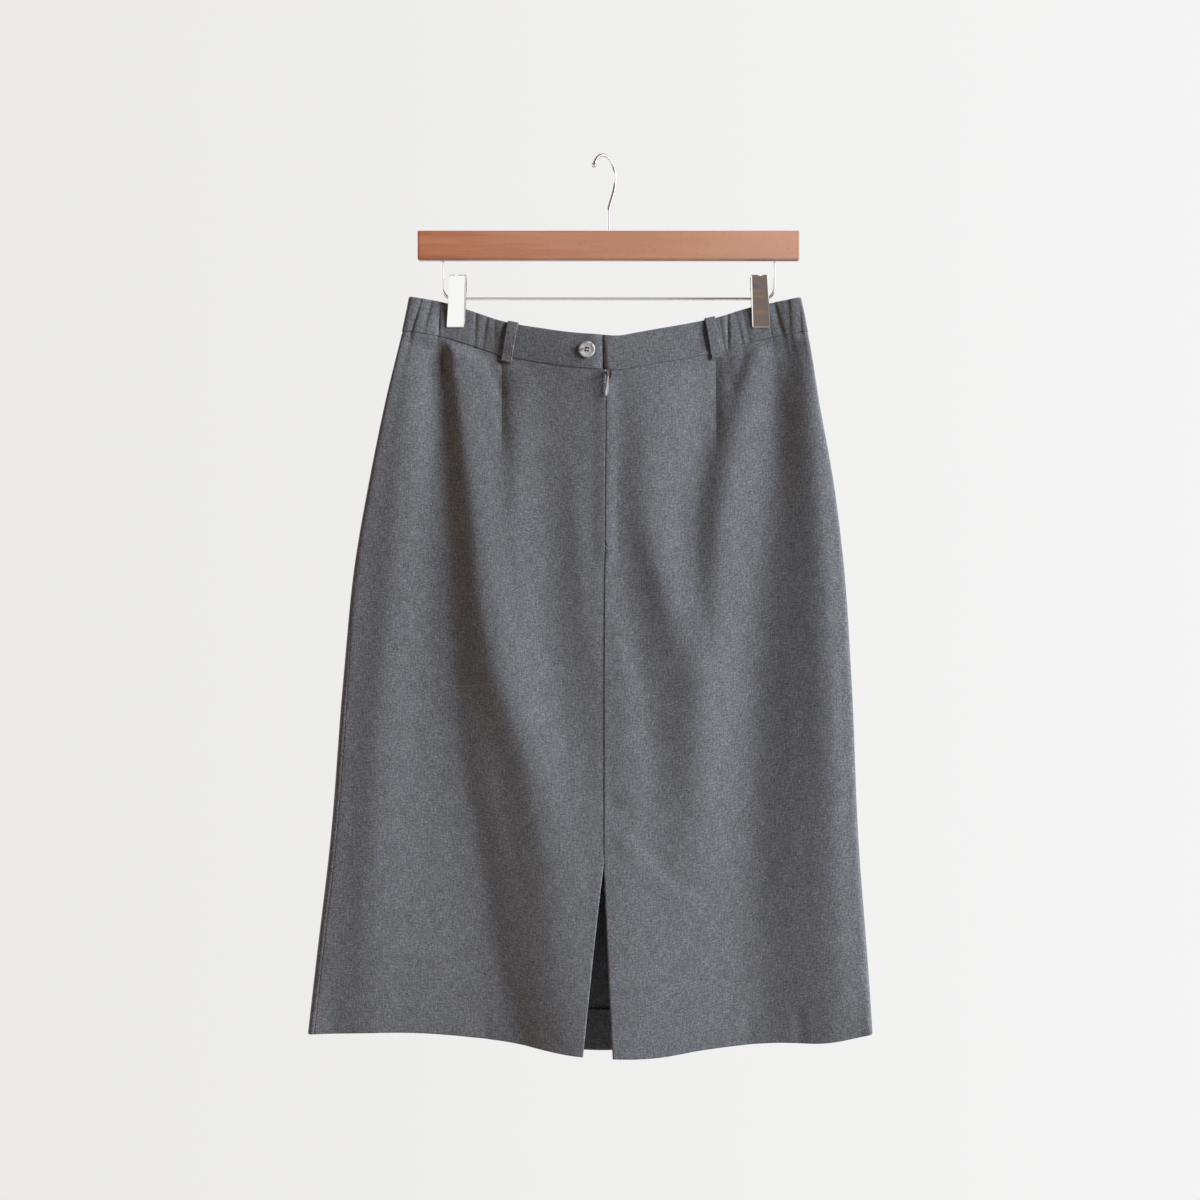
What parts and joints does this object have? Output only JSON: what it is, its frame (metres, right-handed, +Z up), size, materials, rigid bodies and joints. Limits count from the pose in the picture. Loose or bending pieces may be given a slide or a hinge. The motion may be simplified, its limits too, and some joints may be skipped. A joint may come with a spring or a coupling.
{
  "type": "straight midi skirt on a wooden clip hanger",
  "caption": "Straight wool midi skirt with a lapped back zip, button and back slit, hung by two clips from a wooden bar hanger.",
  "frame": {"origin": "inner top of the hanger hook's crook, where a rail or nail carries it", "axes": "+Z up, the garment's back (zip, button and slit) faces -Y, +X to the right as one faces that back"},
  "size_m": [0.5298, 0.0731, 0.8502],
  "materials": {
    "wool": "matt wool twill with a grey melange",
    "zip_tape": "woven polyester tape",
    "button": "polished, marbled grey",
    "zip_metal": "nickel-plated, lightly brushed",
    "chrome": "polished chrome",
    "wood": "reddish-brown satin varnish"
  },
  "bodies": {
    "skirt": {"back_panel_left": "wool", "back_panel_right": "wool", "front_panel": "wool", "waistband_back_left": "wool", "waistband_back_right": "wool", "waistband_front": "wool", "waistband_side_left": "wool", "waistband_side_right": "wool", "belt_loop_back_left": "wool", "belt_loop_back_right": "wool", "belt_loop_front_left": "wool", "belt_loop_front_right": "wool", "button": "button", "zip_tape": "zip_tape", "zip_slider": "zip_metal", "hanger_bar": "wood", "hanger_hook": "chrome", "hanger_rail": "chrome", "clip_left_front": "chrome", "clip_left_back": "chrome", "clip_left_spring": "chrome", "clip_right_front": "chrome", "clip_right_back": "chrome", "clip_right_spring": "chrome"},
    "pull_tab": {"zip_pull": "zip_metal"}
  },
  "joints": [
    {"name": "pull_tab_hinge", "type": "hinge", "parent": "skirt", "child": "pull_tab", "pos_m": [0.00414, -0.01141, -0.2065], "axis": [-1, 0, 0], "range_deg": [0, 165]}
  ]
}
